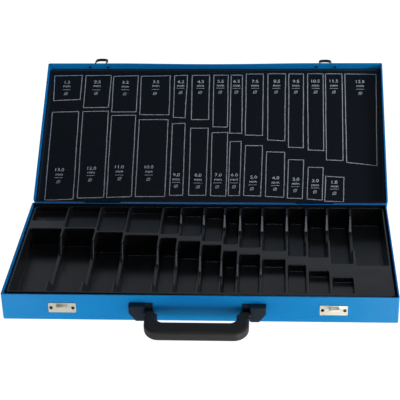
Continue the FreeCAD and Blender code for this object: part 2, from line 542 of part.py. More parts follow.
# ---- hasps on the lid ------------------------------------------------------
for side, lx in (("left", "latch_left"), ("right", "latch_right")):
    at = FreeCAD.Placement(V(val(lx), lid_front, rim_z), FreeCAD.Rotation())
    # backing plate with two lugs
    b = new_body("hasp_plate_%s_body" % side)
    s = sketch(b, "XZ_Plane")
    rect(s, "-hasp_w/2", "hasp_low", "hasp_w/2", "hasp_low + hasp_hh")
    pad(b, s, "hasp_th")
    add_fillet(b, along("y"), 1.4)
    s = sketch(b, "XZ_Plane", -1.0)
    circle(s, "-latch_rivet_x", "hasp_rivet_z", 1.65)
    circle(s, "latch_rivet_x", "hasp_rivet_z", 1.65)
    pocket(b, s, "hasp_th + 2", reverse=True)
    for a, c in (("-lug_out", "-lug_in"), ("lug_in", "lug_out")):
        s = sketch(b, "YZ_Plane", a)
        poly(s, [("-hasp_th/2", "pivot_up - eye_rad - 0.3"), ("-pivot_out - 0.6", "pivot_up - eye_rad - 0.3"),
                 ("-pivot_out - eye_rad - 0.3", "pivot_up - 0.6"), ("-pivot_out - eye_rad - 0.3", "pivot_up + 0.6"),
                 ("-pivot_out - 0.6", "pivot_up + eye_rad + 0.3"), ("-hasp_th/2", "pivot_up + eye_rad + 0.3")])
        pad(b, s, "(%s) - (%s)" % (c, a))
    s = sketch(b, "YZ_Plane", "-lug_out - 1")
    circle(s, "-pivot_out", "pivot_up", "hasp_bore_rad")
    pocket(b, s, "2*lug_out + 2", reverse=True)
    keep(b, "hasp_plate_" + side, LID * at)
    # lever: an eye, a windowed tongue and a turned-out lip.  It is drawn
    # hanging straight down from its pin, as it is when the case is latched.
    b = new_body("hasp_lever_%s_body" % side)
    s = sketch(b, "XZ_Plane", "-lever_th/2")
    poly(s, [("-eye_half", "0"), ("-eye_half", "-5.2"), ("-lever_half", "-5.6"), ("-lever_half", "-lever_len + 6.5"),
             ("-lever_half + 1.6", "-lever_len + 2.6"), ("-lever_half + 5", "-lever_len + 0.5"), ("-3", "-lever_len"),
             ("3", "-lever_len"), ("lever_half - 5", "-lever_len + 0.5"), ("lever_half - 1.6", "-lever_len + 2.6"),
             ("lever_half", "-lever_len + 6.5"), ("lever_half", "-5.6"), ("eye_half", "-5.2"), ("eye_half", "0")])
    poly(s, [("-window_half", "-window_top"), ("-window_half", "-window_low + 0.9"), ("-window_half + 0.9", "-window_low"),
             ("window_half - 0.9", "-window_low"), ("window_half", "-window_low + 0.9"), ("window_half", "-window_top")])
    pad(b, s, "lever_th")
    s = sketch(b, "YZ_Plane", "-eye_half")
    circle(s, "0", "0", "eye_rad")
    pad(b, s, "2*eye_half")
    s = sketch(b, "XZ_Plane", "lever_th/2 - 0.2")
    poly(s, [("-lever_half", "-lever_len + 6.5"), ("-lever_half + 1.6", "-lever_len + 2.6"),
             ("-lever_half + 5", "-lever_len + 0.5"), ("-3", "-lever_len"), ("3", "-lever_len"),
             ("lever_half - 5", "-lever_len + 0.5"), ("lever_half - 1.6", "-lever_len + 2.6"),
             ("lever_half", "-lever_len + 6.5"), ("lever_half - lip_th", "-lever_len + 6.5"),
             ("lever_half - lip_th - 1.5", "-lever_len + 3.2"), ("lever_half - 5.2", "-lever_len + 1.5"),
             ("3", "-lever_len + lip_th"), ("-3", "-lever_len + lip_th"), ("-lever_half + 5.2", "-lever_len + 1.5"),
             ("-lever_half + lip_th + 1.5", "-lever_len + 3.2"), ("-lever_half + lip_th", "-lever_len + 6.5")])
    pad(b, s, "lip_out + 0.2")
    s = sketch(b, "YZ_Plane", "-lever_half - 1")
    circle(s, "0", "0", "hasp_bore_rad")
    pocket(b, s, "2*lever_half + 2", reverse=True)
    swing = FreeCAD.Placement(V(0, -val("pivot_out"), val("pivot_up")), FreeCAD.Rotation(V(1, 0, 0), -val("open_" + side)))
    keep(b, "hasp_lever_" + side, LID * at * swing)
    pinp = fuse([cyl("hasp_pin_rad", "2*lug_out + 0.6", "-lug_out - 0.3", "-pivot_out", "pivot_up", "X"),
                 cone("0.9", "1.3", "0.5", "-lug_out - 0.8", "-pivot_out", "pivot_up", "X"),
                 cone("1.3", "0.9", "0.5", "lug_out + 0.3", "-pivot_out", "pivot_up", "X")])
    keep(pinp, "hasp_pin_" + side, LID * at)
rv = []
for lx in ("latch_left", "latch_right"):
    for s_ in ("-", "+"):
        rv.append(rivet("%s %s latch_rivet_x" % (lx, s_), "case_d/2 - lid_d - hasp_th", "base_h + lid_gap + hasp_rivet_z", -1))
keep(group(rv), "hasp_rivets", LID)

# ---- handle brackets -------------------------------------------------------
# Drawn for the right-hand side; the left one is its mirror image.
for side, sg in (("left", "-"), ("right", "")):
    b = new_body("bracket_%s_body" % side)
    s = sketch(b, "XZ_Plane")
    sx = (lambda t: "-(%s)" % t) if side == "left" else (lambda t: t)
    poly(s, [(sx("bracket_in"), "bracket_low + 3"), (sx("bracket_in"), "bracket_top"), (sx("bracket_out"), "bracket_top"),
             (sx("bracket_out"), "bracket_low + bevel_z"), (sx("bracket_out - bevel_x"), "bracket_low"),
             (sx("bracket_in + 3"), "bracket_low")])
    pad(b, s, "bracket_plate")
    s = sketch(b, "XZ_Plane", "bracket_plate/2")
    poly(s, [(sx("cheek_in"), "bracket_low"), (sx("cheek_in"), "bracket_top"), (sx("bracket_out"), "bracket_top"),
             (sx("bracket_out"), "bracket_low + bevel_z"), (sx("bracket_out - bevel_x"), "bracket_low")])
    pad(b, s, "bracket_dep - bracket_plate/2")
    xo = val("bracket_out") * (-1 if side == "left" else 1)
    dep = val("bracket_dep")
    add_fillet(b, lambda e: all(abs(v.Point.y + dep) < 1e-6 for v in e.Vertexes), 1.2)
    s = sketch(b, "YZ_Plane", sx("axle_out") if side == "left" else "cheek_in - 1")
    circle(s, "-axle_y", "axle_z", "axle_rad")
    pocket(b, s, "axle_out - cheek_in + 1", reverse=True)
    s = sketch(b, "XZ_Plane", -1.0)
    circle(s, sx("screw_x"), "bracket_top - 5", "screw_rad")
    circle(s, sx("screw_x"), "bracket_low + 5", "screw_rad")
    pocket(b, s, "screw_len + 0.5", reverse=True)
    keep(b, "handle_bracket_" + side, FreeCAD.Placement(V(val("handle_mid"), -val("case_d/2"), 0), FreeCAD.Rotation()))
    bind(b, "Placement.Base.x", "handle_mid")
    bind(b, "Placement.Base.y", "-case_d/2")
    a = cyl("axle_rad", "axle_out - axle_in", ("handle_mid - axle_out" if side == "left" else "handle_mid + axle_in"),
            "-case_d/2 - axle_y", "axle_z", "X")
    keep(a, "handle_axle_" + side)
sc = []
for bx in bracket_xs:
    for bz in ("bracket_top - 5", "bracket_low + 5"):
        sc.append(fuse([cyl("screw_rad", "screw_len", bx, "-case_d/2 - screw_len + gauge", bz, "Y"),
                        cone("screw_head", "screw_head*0.7", "1.6", bx, "-case_d/2 + gauge", bz, "Y")]))
keep(group(sc), "bracket_screws")

# ---- handle ----------------------------------------------------------------
# Local frame: the axle is the X axis, and the handle reaches out along -Y
# (v below is the distance from the axle).
b = new_body("handle_body")
s = sketch(b, "XY_Plane", 0.0)
vo, vi = "grip_reach + grip_w/2", "grip_reach - grip_w/2"
poly(s, [("-grip_half", "ear_rad"), ("-grip_half", "-(%s)" % vo), ("grip_half", "-(%s)" % vo), ("grip_half", "ear_rad"),
         ("grip_half - arm_w", "ear_rad"), ("grip_half - arm_w", "-(%s)" % vi), ("-grip_half + arm_w", "-(%s)" % vi),
         ("-grip_half + arm_w", "ear_rad")])
pad(b, s, "grip_th", mid=True)
v_out, v_in = val(vo), val(vi)
add_fillet(b, lambda e: vertical(e) and abs(e.Vertexes[0].Point.y + v_out) < 1e-6, "grip_bend")
add_fillet(b, lambda e: vertical(e) and abs(e.Vertexes[0].Point.y + v_in) < 1e-6, "grip_bend_in")
half_th, back = val("grip_th/2"), val("ear_rad")
add_fillet(b, lambda e: all(abs(abs(v.Point.z) - half_th) < 1e-6 for v in e.Vertexes) and not vertical(e)
           and not all(abs(v.Point.y - back) < 1e-6 for v in e.Vertexes), "grip_round")
for sx in ("-", ""):
    s = sketch(b, "XY_Plane", 0.0)
    poly(s, [("%s(grip_half - arm_w - 1)" % sx, "ear_rad + 1"), ("%s(grip_half - ear_w)" % sx, "ear_rad + 1"),
             ("%s(grip_half - ear_w)" % sx, "-1.6"), ("%s(grip_half - arm_w)" % sx, "-5"),
             ("%s(grip_half - arm_w - 1)" % sx, "-5")])
    pocket(b, s, "grip_th + 2", mid=True)
# side profile: the bar thins from the grip to the ears, round above and
# behind the axle and square below it, where its heel meets the bracket
s = sketch(b, "YZ_Plane", "-grip_half - 1")
poly(s, [("-14", "grip_th/2 + 1"), ("-14", "grip_th/2 - 0.6"), ("-6", "ear_rad + 0.2"), ("-1.9", "ear_rad"),
         ("0", "ear_rad"), ("ear_rad*0.3827", "ear_rad*0.9239"), ("ear_rad*0.7071", "ear_rad*0.7071"),
         ("ear_rad*0.9239", "ear_rad*0.3827"), ("ear_rad", "0"), ("ear_rad + 3", "0"), ("ear_rad + 3", "grip_th/2 + 1")])
pocket(b, s, "2*grip_half + 2", reverse=True)
s = sketch(b, "YZ_Plane", "-grip_half - 1")
poly(s, [("-14", "-grip_th/2 - 1"), ("-14", "-grip_th/2 + 0.6"), ("-6", "-ear_rad - 0.2"), ("-1.9", "-ear_rad"),
         ("ear_rad - 1.2", "-ear_rad"), ("ear_rad", "-ear_rad + 1.2"), ("ear_rad + 3", "-ear_rad + 1.2"),
         ("ear_rad + 3", "-grip_th/2 - 1")])
pocket(b, s, "2*grip_half + 2", reverse=True)
# axle holes, blind, from the outer face of each ear
for start, rev in (("-grip_half - 1", True), ("grip_half + 1", False)):
    s = sketch(b, "YZ_Plane", start)
    circle(s, "0", "0", "axle_bore")
    pocket(b, s, "grip_half + 1 - axle_in + 0.4", reverse=rev)
droop = FreeCAD.Placement(V(val("handle_mid"), -val("case_d/2 + axle_y"), val("axle_z")),
                          FreeCAD.Rotation(V(1, 0, 0), val("droop_deg")))
keep(b, "carry_handle", droop)

# ---- checks and export -----------------------------------------------------
doc.recompute()
bad = []
for o in doc.Objects:
    st = [x for x in o.State if x in ("Invalid", "Error")]
    if st:
        bad.append("%s %s" % (o.Name, st))
for o in made:
    if o.Shape.isNull() or not o.Shape.isValid() or not o.Shape.Solids:
        bad.append("%s: shape is null, not valid or has no solid" % o.Label)
if bad:
    raise RuntimeError("; ".join(bad))
os.makedirs("parts", exist_ok=True)
for o in made:
    o.Shape.exportStep("parts/%s.step" % o.Label)
    bb = o.Shape.BoundBox
    print("%-24s solids %d  vol %10.1f  x %8.2f %8.2f  y %8.2f %8.2f  z %8.2f %8.2f" % (
        o.Label, len(o.Shape.Solids), o.Shape.Volume, bb.XMin, bb.XMax, bb.YMin, bb.YMax, bb.ZMin, bb.ZMax))
print("nodes", len(made))
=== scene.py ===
import bpy
import bmesh
import math
import random
from math import radians, sin, cos, pi
from mathutils import Vector, Matrix, noise


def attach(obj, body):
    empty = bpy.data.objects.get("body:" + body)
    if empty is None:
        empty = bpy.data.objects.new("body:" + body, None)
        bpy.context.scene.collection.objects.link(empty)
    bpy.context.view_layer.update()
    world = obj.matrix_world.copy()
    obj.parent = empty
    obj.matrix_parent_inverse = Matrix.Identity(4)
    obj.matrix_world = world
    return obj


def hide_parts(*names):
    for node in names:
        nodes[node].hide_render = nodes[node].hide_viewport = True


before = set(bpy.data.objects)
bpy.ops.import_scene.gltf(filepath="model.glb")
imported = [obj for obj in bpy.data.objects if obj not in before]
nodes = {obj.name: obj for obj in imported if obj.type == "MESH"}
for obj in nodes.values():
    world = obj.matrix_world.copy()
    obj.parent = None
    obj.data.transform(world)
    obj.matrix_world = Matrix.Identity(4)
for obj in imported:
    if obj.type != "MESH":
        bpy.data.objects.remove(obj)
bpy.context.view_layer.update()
rnd = random.Random(11)
scene = bpy.context.scene
col = scene.collection


# ------------------------------------------------------------------ frames
# Millimetres from the case's outer front left corner become metres in the
# row frame.  Things on the lid are given as if it were shut.
def P(x, y, z):
    return Vector(((x - 250.0) / 1000, (y - 119.25) / 1000, z / 1000))


OPEN = 148.1
WORLD = (0.75, 0.75, 0.50, 0.52, 0.22, 0.12, 0.13)   # brightness of the surroundings, from below to overhead
FRONT = 0.16                                      # and how much of that is left high up in front
SIDE = (0.55, 1.25)                               # and its scale from the far left to the far right
HINGE = Vector((0.0, 0.12135, 0.03765))
LID = Matrix.Translation(HINGE) @ Matrix.Rotation(-radians(OPEN), 4, "X") @ Matrix.Translation(-HINGE)
LINER_Z = 53.3           # the liner's face when the lid is shut


def on_lid(x, s, lift=0.0):
    """x from the base's left side, s from the lid's rear wall towards its front, on the liner's face."""
    return LID @ P(x, 238.5 - s, LINER_Z - lift)


# ------------------------------------------------------------------ nodes
def new_mat(name):
    m = bpy.data.materials.new(name)
    m.use_nodes = True
    nt = m.node_tree
    b = nt.nodes["Principled BSDF"]
    return m, nt, b


def tex(nt, kind, scale, detail=3.0, rough=0.55, coord=None, **kw):
    t = nt.nodes.new(kind)
    for k, v in (("Scale", scale), ("Detail", detail), ("Roughness", rough)):
        if k in t.inputs:
            t.inputs[k].default_value = v
    for k, v in kw.items():
        t.inputs[k].default_value = v
    if coord is not None:
        nt.links.new(coord, t.inputs["Vector"])
    return t


def coords(nt, scale=(1, 1, 1)):
    c = nt.nodes.new("ShaderNodeTexCoord")
    if scale == (1, 1, 1):
        return c.outputs["Object"]
    m = nt.nodes.new("ShaderNodeMapping")
    m.inputs["Scale"].default_value = scale
    nt.links.new(c.outputs["Object"], m.inputs["Vector"])
    return m.outputs["Vector"]


def ramp(nt, src, stops):
    r = nt.nodes.new("ShaderNodeValToRGB")
    els = r.color_ramp.elements
    while len(els) < len(stops):
        els.new(0.5)
    for e, (p, c) in zip(els, stops):
        e.position = p
        e.color = (c, c, c, 1) if isinstance(c, (int, float)) else (*c, 1)
    nt.links.new(src, r.inputs["Fac"])
    return r.outputs["Color"]


def mix_col(nt, fac, a, b):
    m = nt.nodes.new("ShaderNodeMix")
    m.data_type = "RGBA"
    if isinstance(fac, (int, float)):
        m.inputs[0].default_value = fac
    else:
        nt.links.new(fac, m.inputs[0])
    for i, v in ((6, a), (7, b)):
        if isinstance(v, tuple):
            m.inputs[i].default_value = (*v, 1)
        else:
            nt.links.new(v, m.inputs[i])
    return m.outputs[2]


def rng(nt, src, lo, hi):
    m = nt.nodes.new("ShaderNodeMapRange")
    m.inputs["To Min"].default_value = lo
    m.inputs["To Max"].default_value = hi
    nt.links.new(src, m.inputs["Value"])
    return m.outputs["Result"]


def bump(nt, b, src, strength, dist, prev=None):
    n = nt.nodes.new("ShaderNodeBump")
    n.inputs["Strength"].default_value = strength
    n.inputs["Distance"].default_value = dist
    nt.links.new(src, n.inputs["Height"])
    if prev is not None:
        nt.links.new(prev, n.inputs["Normal"])
    nt.links.new(n.outputs["Normal"], b.inputs["Normal"])
    return n.outputs["Normal"]


# blue enamel on sheet steel
def blue_enamel(name="blue_enamel", lo=(0.0025, 0.150, 0.440), hi=(0.0035, 0.175, 0.480), spec=0.12):
    m, nt, b = new_mat(name)
    c = coords(nt)
    big = tex(nt, "ShaderNodeTexNoise", 7.0, 2.0, coord=c)
    fine = tex(nt, "ShaderNodeTexNoise", 520.0, 2.0, coord=c)
    spots = tex(nt, "ShaderNodeTexNoise", 95.0, 6.0, 0.7, coord=c)
    base = mix_col(nt, rng(nt, big.outputs["Fac"], 0.0, 1.0), lo, hi)
    # a little unevenness where the enamel lies thin
    base = mix_col(nt, ramp(nt, spots.outputs["Fac"], [(0.58, 0.0), (0.74, 0.25)]), base, tuple(v * 1.25 for v in hi))
    nt.links.new(base, b.inputs["Base Color"])
    nt.links.new(rng(nt, spots.outputs["Fac"], 0.26, 0.38), b.inputs["Roughness"])
    b.inputs["Specular IOR Level"].default_value = spec
    n1 = bump(nt, b, fine.outputs["Fac"], 0.10, 0.00006)
    bump(nt, b, big.outputs["Fac"], 0.5, 0.0012, n1)
    return m


def tray_plastic(name="tray_black", lo=0.16, hi=0.26, spec=0.58):
    m, nt, b = new_mat(name)
    c = coords(nt)
    big = tex(nt, "ShaderNodeTexNoise", 28.0, 2.0, coord=c)
    fine = tex(nt, "ShaderNodeTexNoise", 900.0, 2.0, coord=c)
    scuff = tex(nt, "ShaderNodeTexNoise", 60.0, 8.0, 0.7, coord=coords(nt, (1.0, 0.25, 1.0)))
    base = mix_col(nt, ramp(nt, scuff.outputs["Fac"], [(0.45, 0.0), (0.7, 1.0)]), (0.0045, 0.0045, 0.0052), (0.0090, 0.0090, 0.0100))
    nt.links.new(base, b.inputs["Base Color"])
    nt.links.new(rng(nt, scuff.outputs["Fac"], lo, hi), b.inputs["Roughness"])
    b.inputs["IOR"].default_value = 1.5
    b.inputs["Specular IOR Level"].default_value = spec
    b.inputs["Specular Tint"].default_value = (0.86, 0.91, 1.0, 1)
    n1 = bump(nt, b, fine.outputs["Fac"], 0.08, 0.00005)
    bump(nt, b, big.outputs["Fac"], 0.35, 0.0010, n1)
    return m


def liner_plastic():
    m, nt, b = new_mat("liner_black")
    c = coords(nt)
    big = tex(nt, "ShaderNodeTexNoise", 9.0, 3.0, coord=c)
    fine = tex(nt, "ShaderNodeTexNoise", 700.0, 2.0, coord=c)
    base = mix_col(nt, big.outputs["Fac"], (0.0030, 0.0042, 0.0070), (0.0050, 0.0065, 0.0100))
    nt.links.new(base, b.inputs["Base Color"])
    nt.links.new(rng(nt, big.outputs["Fac"], 0.30, 0.42), b.inputs["Roughness"])
    b.inputs["Specular IOR Level"].default_value = 0.58
    b.inputs["Specular Tint"].default_value = (0.72, 0.88, 1.0, 1)
    n1 = bump(nt, b, fine.outputs["Fac"], 0.05, 0.00004)
    bump(nt, b, big.outputs["Fac"], 0.6, 0.002, n1)
    return m


def print_ink(name="print_grey", k=1.0):
    m, nt, b = new_mat(name)
    c = coords(nt)
    f = tex(nt, "ShaderNodeTexNoise", 160.0, 6.0, 0.7, coord=c)
    base = mix_col(nt, ramp(nt, f.outputs["Fac"], [(0.35, 0.0), (0.62, 1.0)]), tuple(k * v for v in (0.215, 0.235, 0.275)), tuple(k * v for v in (0.33, 0.355, 0.405)))
    nt.links.new(base, b.inputs["Base Color"])
    nt.links.new(rng(nt, f.outputs["Fac"], 0.45, 0.6), b.inputs["Roughness"])
    bump(nt, b, f.outputs["Fac"], 0.1, 0.00003)
    return m


def grained_plastic(name="handle_black", lo=(0.0105, 0.0105, 0.0115), hi=(0.0165, 0.0162, 0.0175), spec=0.36):
    m, nt, b = new_mat(name)
    c = coords(nt)
    grain = tex(nt, "ShaderNodeTexVoronoi", 900.0, coord=c)
    soft = tex(nt, "ShaderNodeTexNoise", 40.0, 4.0, coord=c)
    base = mix_col(nt, soft.outputs["Fac"], lo, hi)
    nt.links.new(base, b.inputs["Base Color"])
    b.inputs["Specular IOR Level"].default_value = spec
    nt.links.new(rng(nt, soft.outputs["Fac"], 0.42, 0.56), b.inputs["Roughness"])
    n1 = bump(nt, b, grain.outputs["Distance"], 0.12, 0.0001)
    bump(nt, b, soft.outputs["Fac"], 0.2, 0.0006, n1)
    return m


def metal(name, lo, hi, r0, r1, scale=(1, 1, 1), streak=300.0, tint=None, strength=0.1, metallic=1.0):
    m, nt, b = new_mat(name)
    c = coords(nt, scale)
    a = tex(nt, "ShaderNodeTexNoise", streak, 4.0, 0.6, coord=c)
    d = tex(nt, "ShaderNodeTexNoise", 55.0, 5.0, 0.65, coord=coords(nt))
    base = mix_col(nt, d.outputs["Fac"], lo, hi)
    if tint is not None:
        base = mix_col(nt, ramp(nt, d.outputs["Fac"], [(0.56, 0.0), (0.70, 0.8)]), base, tint)
    nt.links.new(base, b.inputs["Base Color"])
    b.inputs["Metallic"].default_value = metallic
    nt.links.new(rng(nt, a.outputs["Fac"], r0, r1), b.inputs["Roughness"])
    bump(nt, b, a.outputs["Fac"], strength, 0.00006)
    return m


BLUE = blue_enamel()
# the case's blue made dark: painted shade for the sheet faces deep between the two halves at the back
PAINTED_SHADE_BLUE = blue_enamel("blue_painted_shade", (0.0040, 0.0095, 0.0180), (0.0055, 0.0130, 0.0240), 0.30)
TRAY = tray_plastic()
TRAY_DEEP = tray_plastic("tray_black_deep", 0.24, 0.33, 0.66)
LINER = liner_plastic()
INK = print_ink()
INK_2 = print_ink("print_grey_figures", 1.4)
GRAIN = grained_plastic()
BRACKET = grained_plastic("bracket_black", (0.0035, 0.0085, 0.0170), (0.0060, 0.0125, 0.0230), 0.24)
ZINC = metal("bright_zinc", (0.58, 0.55, 0.485), (0.67, 0.645, 0.585), 0.36, 0.50, (1, 1, 14), 90.0, tint=(0.53, 0.485, 0.39), metallic=0.7)
STEEL = metal("hinge_steel", (0.10, 0.10, 0.105), (0.18, 0.18, 0.185), 0.30, 0.48, (1, 8, 1), 120.0)
# the hinges are painted blue with the case but made much darker than its blue: painted shade, as they lie in shade
# between the halves
HINGE_BLUE_SHADED = metal("hinge_blue_painted_shade", (0.010, 0.030, 0.070), (0.018, 0.050, 0.105), 0.34, 0.50, (8, 1, 1), 120.0)
BLACKENED = metal("blackened_steel", (0.012, 0.012, 0.014), (0.03, 0.03, 0.034), 0.18, 0.32, (1, 10, 1), 160.0)
RIVET = metal("rivet_alloy", (0.30, 0.25, 0.15), (0.46, 0.38, 0.24), 0.30, 0.46, (1, 1, 1), 400.0)
# near black for the hollow middles of the rivets: painted shade
RIVET_HOLE_SHADE = metal("rivet_bore_painted_shade", (0.012, 0.008, 0.004), (0.030, 0.019, 0.010), 0.5, 0.7, (1, 1, 1), 300.0)


# ------------------------------------------------------------------ pieces
def mesh_object(name, bm, mat, body, smooth=None):
    me = bpy.data.meshes.new(name)
    bm.to_mesh(me)
    bm.free()
    o = bpy.data.objects.new(name, me)
    col.objects.link(o)
    me.materials.append(mat)
    if smooth is not None:
        for p in me.polygons:
            p.use_smooth = True
        me.set_sharp_from_angle(angle=radians(smooth))
    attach(o, body)
    return o


def refined(node, mat, body, width=0.0, segments=2, angle=32.0, smooth=40.0, dissolve=0.6, bow=None, planes=()):
    """A copy of a CAD node with its flat facets joined and its sharp edges rounded."""
    src = nodes[node].data
    bm = bmesh.new()
    bm.from_mesh(src)
    bmesh.ops.remove_doubles(bm, verts=bm.verts, dist=2e-6)
    bmesh.ops.dissolve_limit(bm, angle_limit=radians(dissolve), verts=bm.verts, edges=bm.edges, delimit={"NORMAL"})
    bmesh.ops.recalc_face_normals(bm, faces=bm.faces)
    for x in planes:
        bmesh.ops.bisect_plane(bm, geom=bm.verts[:] + bm.edges[:] + bm.faces[:], plane_co=(x, 0, 0), plane_no=(1, 0, 0), dist=1e-6)
    o = mesh_object("vis_" + node, bm, mat, body, smooth)
    o.data.materials.clear()
    o.data.materials.append(mat)
    if bow is not None:
        bow(o.data)
    if width:
        m = o.modifiers.new("edges", "BEVEL")
        m.width = width
        m.segments = segments
        m.limit_method = "ANGLE"
        m.angle_limit = radians(angle)
        m.use_clamp_overlap = True
        m.harden_normals = False
        m.miter_outer = "MITER_ARC"
    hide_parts(node)
    return o


def paint_shade_on(o, pick):
    """The sheet faces deep between the two halves at the back, where the paint sees no light, get a darker blue:
    painted shade.
    """
    o.data.materials.append(PAINTED_SHADE_BLUE)
    for f in o.data.polygons:
        if pick(f.center, f.normal):
            f.material_index = 1


# painted shade on the rear inner wall of the base
paint_shade_on(refined("base_shell", BLUE, "base", 0.0006, 3),
           lambda c, n: c.y > 0.112 and c.z > 0.004 and n.y < -0.7)


def bow_lid(me):
    """The long front wall of the lid stands in a little at its middle, most at the rim."""
    inv = LID.inverted()
    for v in me.vertices:
        q = inv @ v.co
        fx = max(0.0, 1 - ((q.x - 0.0016) / 0.150) ** 2)
        fy = max(0.0, 1 - (q.y + 0.11875) / 0.006) if q.y < -0.1125 else 0.0
        fz = max(0.0, min(1.0, (0.0553 - q.z) / 0.0175))
        if fx and fy and fz:
            q.y += 0.0016 * fx * fx * min(1.0, fy * 1.6) * fz
            v.co = LID @ q


lid_shell = refined("lid_shell", BLUE, "lid", 0.0006, 3, bow=bow_lid, planes=[(i * 12.5 - 150) / 1000 for i in range(25)])


# painted shade on the lid's rear wall and rim beside the hinge
def lid_faces_in_shade(c, n):
    q, k = LID.inverted() @ c, LID.to_3x3().inverted() @ n
    return q.y > 0.110 and (k.y < -0.7 or (k.z < -0.5 and q.z < 0.046))


paint_shade_on(lid_shell, lid_faces_in_shade)

# ------------------------------------------------------------------ the tray
# A slab from which each compartment and each finger dip is cut.  The cutters
# have the rounded lips, corners and floors of a vacuum-formed sheet.
TOP = 34.0
RIB = 3.4
REAR_RIBS = [53.6, 99.3, 139.8, 187.6, 213.4, 245.5, 274.5, 296.2, 326.8, 361.0, 387.7, 416.6, 448.7]
FRONT_RIBS = [53.8, 99.2, 139.4, 188.2, 213.8, 246.2, 274.8, 296.4, 327.0, 360.2, 386.8, 416.4]
REAR_ENDS = [194.0, 176.5, 167.0, 162.5, 159.5, 154.5, 141.0, 133.2, 125.2, 117.0, 104.0, 101.5, 86.0, 82.0]
FRONT_ENDS = [171.5, 171.8, 163.0, 155.6, 148.6, 141.0, 131.5, 116.4, 107.6, 95.6, 81.8, 67.8, 51.8]
REAR_DEPS = [9.0, 9.0, 9.0, 10.5, 15.0, 15.0, 18.0, 26.0, 26.0, 26.0, 26.0, 31.7, 31.7, 28.0]
FRONT_DEPS = [26.0, 28.0, 31.7, 31.7, 28.0, 28.0, 26.0, 26.0, 18.0, 12.0, 9.5, 9.0, 7.0]
DIPS = [("front", 1, 39.0, 148.7, 18.0), ("front", 2, 38.6, 139.5, 18.0), ("front", 3, 38.8, 134.0, 18.0),
        ("front", 4, 36.0, 123.0, 18.0), ("front", 5, 37.0, 118.0, 18.0), ("front", 6, 39.0, 105.5, 18.0),
        ("front", 7, 40.0, 93.0, 17.0), ("front", 8, 43.0, 84.5, 13.5), ("front", 9, 43.0, 78.5, 9.5),
        ("rear", 5, 162.5, 214.0, 11.0), ("rear", 6, 160.0, 213.5, 12.0), ("rear", 7, 160.0, 214.5, 15.0),
        ("rear", 8, 156.0, 213.0, 18.0), ("rear", 9, 148.0, 212.0, 18.0), ("rear", 10, 148.0, 213.0, 18.0),
        ("rear", 11, 144.0, 212.5, 18.0), ("rear", 12, 146.0, 216.0, 18.0), ("rear", 13, 121.0, 212.0, 18.0)]
LIP, CORNER, FLOOR = 1.1, 3.0, 1.0


def rounded_ring(bm, x0, x1, y0, y1, r, z, n=5):
    vs = []
    for cx, cy, a0 in ((x1 - r, y1 - r, 0), (x0 + r, y1 - r, 90), (x0 + r, y0 + r, 180), (x1 - r, y0 + r, 270)):
        for k in range(n + 1):
            a = radians(a0 + 90 * k / n)
            vs.append(bm.verts.new(P(cx + r * cos(a), cy + r * sin(a), z)))
    return vs


def skin(bm, rings):
    n = len(rings[0])
    for p, q in zip(rings, rings[1:]):
        for i in range(n):
            bm.faces.new((p[i], p[(i + 1) % n], q[(i + 1) % n], q[i]))
    bm.faces.new(rings[0])
    bm.faces.new(list(reversed(rings[-1])))


def cavity(bm, x0, x1, y0, y1, dep):
    """One compartment: x and y at the top, walls that lean in a little, lip and floor rounded."""
    lean = 0.05 * dep + 0.2
    r = min(CORNER, (x1 - x0) / 2 - lean - 1.0)
    prof = [(-LIP, -2.0)]
    prof += [(-LIP * (1 - sin(radians(15 * k))), LIP * (1 - cos(radians(15 * k)))) for k in range(7)]
    fl = min(FLOOR, dep * 0.3)
    prof += [(fl * (1 - cos(radians(15 * k))), dep - fl * (1 - sin(radians(15 * k)))) for k in range(7)]
    rings = []
    for off, t in prof:
        w = off + lean * max(0.0, min(1.0, t / dep))
        rings.append(rounded_ring(bm, x0 + w, x1 - w, y0 + w, y1 - w, max(0.6, r - off), TOP - t))
    skin(bm, rings)


def soft_line(pts, radii, n=5):
    """The polyline with its inner corners rounded."""
    out = [pts[0]]
    for i in range(1, len(pts) - 1):
        p = Vector(pts[i])
        a, b = Vector(pts[i - 1]) - p, Vector(pts[i + 1]) - p
        ang = a.angle(b)
        d = min(radii[i - 1] / math.tan(ang / 2), a.length * 0.48, b.length * 0.48)
        s, e = p + a.normalized() * d, p + b.normalized() * d
        for k in range(n + 1):
            t = k / n
            q = s * (1 - t) ** 2 + p * (2 * t * (1 - t)) + e * t * t
            out.append((q.x, q.y))
    out.append(pts[-1])
    return out


